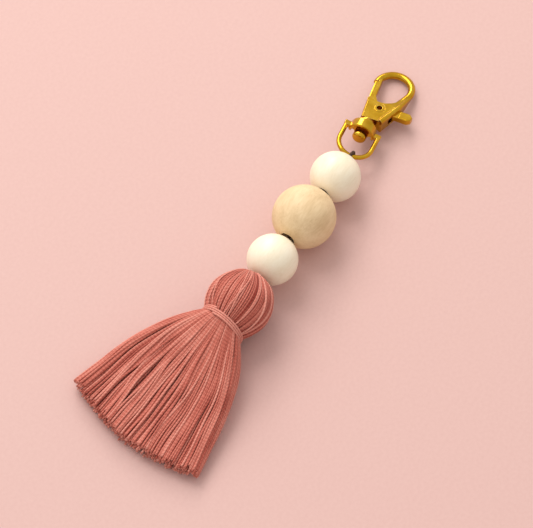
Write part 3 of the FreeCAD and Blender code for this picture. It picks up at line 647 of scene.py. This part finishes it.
def cord_middle_line():
    """The bends of the doubled cord, from the knot to the ring's bow."""
    names = ("cord_bend_tassel", "cord_bend_lower", "cord_bend_upper", "cord_bend_top", "loop_tilt")
    return [HEAD - HEAD_AXIS * KNOT_INSET, *(place(name) for name in names)]


def strand_line():
    """The whole strand: out along the upper side, round the ring's bow and back along the lower side."""
    line = cord_middle_line()
    last = unit(line[-1] - line[-2])
    over = np.cross([0.0, 1.0, 0.0], last)
    over = over if over[2] > 0 else -over
    out = [point + UP * STRAND_SPREAD for point in line[:4]]
    back = [point - UP * STRAND_SPREAD for point in line[:4]]
    arc = [line[4] + over * LOOP_SPREAD]
    for angle in np.linspace(90, -90, 13):
        turn = math.radians(angle)
        arc.append(line[5] + (over * math.sin(turn) + last * math.cos(turn)) * LOOP_SPREAD)
    arc.append(line[4] - over * LOOP_SPREAD)
    corners = np.array(out + arc + back[::-1])
    step = np.linalg.norm(np.diff(corners, axis=0), axis=1)
    length = np.concatenate([[0], np.cumsum(step)])
    at = np.arange(0, length[-1], CORD_STEP)
    path = np.stack([np.interp(at, length, corners[:, k]) for k in range(3)], axis=1)
    for _ in range(SMOOTHING_ROUNDS):
        path[1:-1] = path[1:-1] * 0.5 + (path[:-2] + path[2:]) * 0.25
    return path, at


def add_cord(material):
    path, at = strand_line()
    ahead = unit(np.gradient(path, axis=0))
    side = unit(np.cross(ahead, np.broadcast_to(np.array([0.05, 1.0, 0.02]), ahead.shape)))
    lift = np.cross(side, ahead)
    plies = []
    for ply in range(3):
        turn = 2 * math.pi * (at / PLY_PITCH + ply / 3)
        plies.append(path + PLY_OFFSET * (side * np.cos(turn)[:, None] + lift * np.sin(turn)[:, None]))
    bends = cord_middle_line()
    inside = [bends[0] - HEAD_AXIS * MM, place("bead_lower_spin"), place("bead_middle_spin"),
              place("bead_upper_spin"), bends[5] + unit(bends[5] - bends[4]) * 5 * MM]
    bodies = ["cord_end", "cord_lower", "cord_middle", "cord_top", "cord_loop"]
    for k in range(4):
        low, high = inside[k][0], inside[k + 1][0]
        chosen = (path[:, 0] >= low - CORD_STEP) & (path[:, 0] <= high + CORD_STEP)
        found = np.flatnonzero(chosen)
        runs = [run for run in np.split(found, np.flatnonzero(np.diff(found) > 1) + 1) if len(run) > 2]
        points = max(len(run) for run in runs)
        tubes = np.array([evenly(ply[run], points) for run in runs for ply in plies])
        tones = np.tile([0.45, 0.6, 0.5], len(runs))
        mesh = tube_mesh(f"cord_{k + 1}", tubes, np.full(tubes.shape[:2], PLY_R), 8, tones)
        piece = add_piece(f"cord_{k + 1}", mesh, material)
        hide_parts(bodies[k], bodies[k + 1])
        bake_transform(piece)


def evenly(points, count):
    """A line of points as another number of points, evenly spaced along it."""
    length = np.concatenate([[0], np.cumsum(np.linalg.norm(np.diff(points, axis=0), axis=1))])
    at = np.linspace(0, length[-1], count)
    return np.stack([np.interp(at, length, points[:, k]) for k in range(3)], axis=1)


# ---- stage ----
def add_light(name, offset, size, power, tint):
    data = bpy.data.lights.new(name, "AREA")
    data.size = size
    data.energy = power
    data.color = tint
    light = bpy.data.objects.new(name, data)
    bpy.context.scene.collection.objects.link(light)
    light.location = offset
    light.rotation_euler = (-Vector(offset)).to_track_quat("-Z", "Y").to_euler()


FLOOR_HALF = 3.0
FLOOR_Z = -0.05 * MM


def add_stage():
    mesh = bpy.data.meshes.new("floor")
    half = FLOOR_HALF
    corners = [(-half, -half), (half, -half), (half, half), (-half, half)]
    mesh.from_pydata([(x, y, FLOOR_Z) for x, y in corners], [], [(0, 1, 2, 3)])
    floor = bpy.data.objects.new("floor", mesh)
    bpy.context.scene.collection.objects.link(floor)
    m = Nodes("pale_floor")
    speckle = m.noise(m.coordinates((1, 1, 1)), 900, 2)
    tint = m.ramp(speckle, [(0.3, colour(208, 168, 160)), (0.7, colour(211, 172, 164))])
    m.set(Base_Color=tint, Roughness=0.6)
    mesh.materials.append(m.material)
    world = bpy.data.worlds.new("studio")
    world.use_nodes = True
    tree = world.node_tree
    background = tree.nodes["Background"]
    background.inputs["Color"].default_value = (1.0, 0.985, 0.97, 1)
    # a soft studio: brighter where the key light stands and dimmer across from it
    direction = tree.nodes.new("ShaderNodeTexCoord").outputs["Generated"]
    toward_key = tree.nodes.new("ShaderNodeVectorMath")
    toward_key.operation = "DOT_PRODUCT"
    toward_key.inputs[1].default_value = (0.2, 0.6, 0.77)
    tree.links.new(direction, toward_key.inputs[0])
    level = tree.nodes.new("ShaderNodeMapRange")
    level.inputs["From Min"].default_value = -0.6
    level.inputs["To Min"].default_value = 0.6
    level.inputs["To Max"].default_value = 0.94
    tree.links.new(toward_key.outputs["Value"], level.inputs["Value"])
    tree.links.new(level.outputs["Result"], background.inputs["Strength"])
    bpy.context.scene.world = world
    add_light("key", (0.42, 0.9, 1.25), 1.0, 14, (1.0, 0.97, 0.94))
    add_light("back", (0.85, 0.72, 0.66), 0.4, 4.2, (1.0, 0.98, 0.94))
    bpy.context.scene.view_settings.view_transform = "Standard"


def dress(material, *nodes):
    for node in nodes:
        for slot in frame["nodes"][node].material_slots:
            slot.material = material


add_camera()
add_stage()
rose = thread_material("rose_thread", colour(142, 45, 31), colour(198, 110, 93), colour(230, 158, 140),
                       1.0, 900.0, (1.0, 0.72, 0.66))
brown = thread_material("brown_cotton", colour(52, 34, 26), colour(78, 52, 40), colour(112, 80, 62),
                        1.0, 700.0, (0.8, 0.65, 0.55))
cream_shades = [(0.3, colour(234, 216, 184)), (0.5, colour(243, 230, 203)), (0.7, colour(248, 238, 216))]
tan_shades = [(0.3, colour(202, 168, 122)), (0.5, colour(224, 194, 150)), (0.7, colour(240, 214, 172))]
cream = wood_material("cream_bead", cream_shades, 0.1, 0.12, (0.4, 0.5), 0.02 * MM, 0.15)
tan = wood_material("raw_bead", tan_shades, 0.35, 0.1, (0.55, 0.7), 0.04 * MM, 0.0)
gold = gold_material()
dress(gold, "hook_body", "clasp_lever", "lever_rivet", "swivel_post", "swivel_ring")
dress(steel_material(), "lever_spring")
dress(cream, "bead_upper", "bead_lower")
dress(tan, "bead_middle", "tassel_core")
add_cord(brown)
add_head(rose)
add_neck_wraps(rose)
add_skirt(rose)
